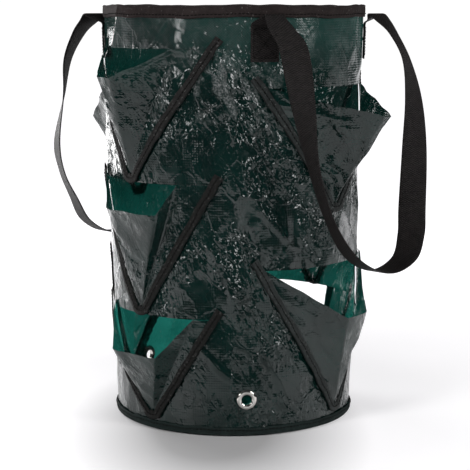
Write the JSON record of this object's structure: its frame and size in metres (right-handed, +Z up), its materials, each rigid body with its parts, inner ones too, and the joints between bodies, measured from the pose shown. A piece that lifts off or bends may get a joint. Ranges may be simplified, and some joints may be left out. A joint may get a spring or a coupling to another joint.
{
  "type": "strawberry grow bag",
  "caption": "Tall round grow bag of coated woven sheet with staggered side planting pockets, drain eyelets and hanging webbing handles.",
  "frame": {"origin": "centre of the base's underside, on the floor", "axes": "+Z up to the rim; -Y towards the front, as pictured; +X to the right seen from the front"},
  "size_m": [0.4178, 0.334, 0.45],
  "materials": {
    "tarp": "glossy coated woven sheet",
    "pouch_tarp": "glossy crumpled coated woven sheet",
    "binding": "matt brushed tape",
    "webbing": "ribbed woven webbing",
    "thread": "sewing thread",
    "eyelet": "polished"
  },
  "bodies": {
    "bag": {"wall_panel": "tarp", "base_panel": "tarp", "side_seam_tape": "binding", "rim_binding": "binding", "base_binding": "binding", "front_left_top_pouch": "pouch_tarp", "front_left_top_binding": "binding", "front_left_middle_pouch": "pouch_tarp", "front_left_middle_binding": "binding", "front_left_bottom_pouch": "pouch_tarp", "front_left_bottom_binding": "binding", "front_right_top_pouch": "pouch_tarp", "front_right_top_binding": "binding", "front_right_bottom_pouch": "pouch_tarp", "front_right_bottom_binding": "binding", "back_right_top_pouch": "pouch_tarp", "back_right_top_binding": "binding", "back_right_middle_pouch": "pouch_tarp", "back_right_middle_binding": "binding", "back_right_bottom_pouch": "pouch_tarp", "back_right_bottom_binding": "binding", "back_left_top_pouch": "pouch_tarp", "back_left_top_binding": "binding", "back_left_bottom_pouch": "pouch_tarp", "back_left_bottom_binding": "binding", "front_eyelet": "eyelet", "front_eyelet_washer": "eyelet", "right_eyelet": "eyelet", "right_eyelet_washer": "eyelet", "back_eyelet": "eyelet", "back_eyelet_washer": "eyelet", "front_handle_left_sewn_end": "webbing", "front_handle_right_sewn_end": "webbing", "rear_handle_left_sewn_end": "webbing", "rear_handle_right_sewn_end": "webbing", "rim_stitching": "thread", "base_stitching": "thread", "side_seam_stitching": "thread", "pocket_stitching": "thread", "handle_stitching": "thread"},
    "front_handle": {"front_handle_loop": "webbing"},
    "rear_handle": {"rear_handle_loop": "webbing"}
  },
  "joints": [
    {"name": "front_handle_swing", "type": "hinge", "parent": "bag", "child": "front_handle", "pos_m": [0.04188, -0.12654, 0.44], "axis": [-0.6853, -0.7283, 0], "range_deg": [0, 150]},
    {"name": "rear_handle_swing", "type": "hinge", "parent": "bag", "child": "rear_handle", "pos_m": [-0.15521, 0.01827, 0.44], "axis": [0.7231, 0.6908, 0], "range_deg": [0, 150]}
  ]
}
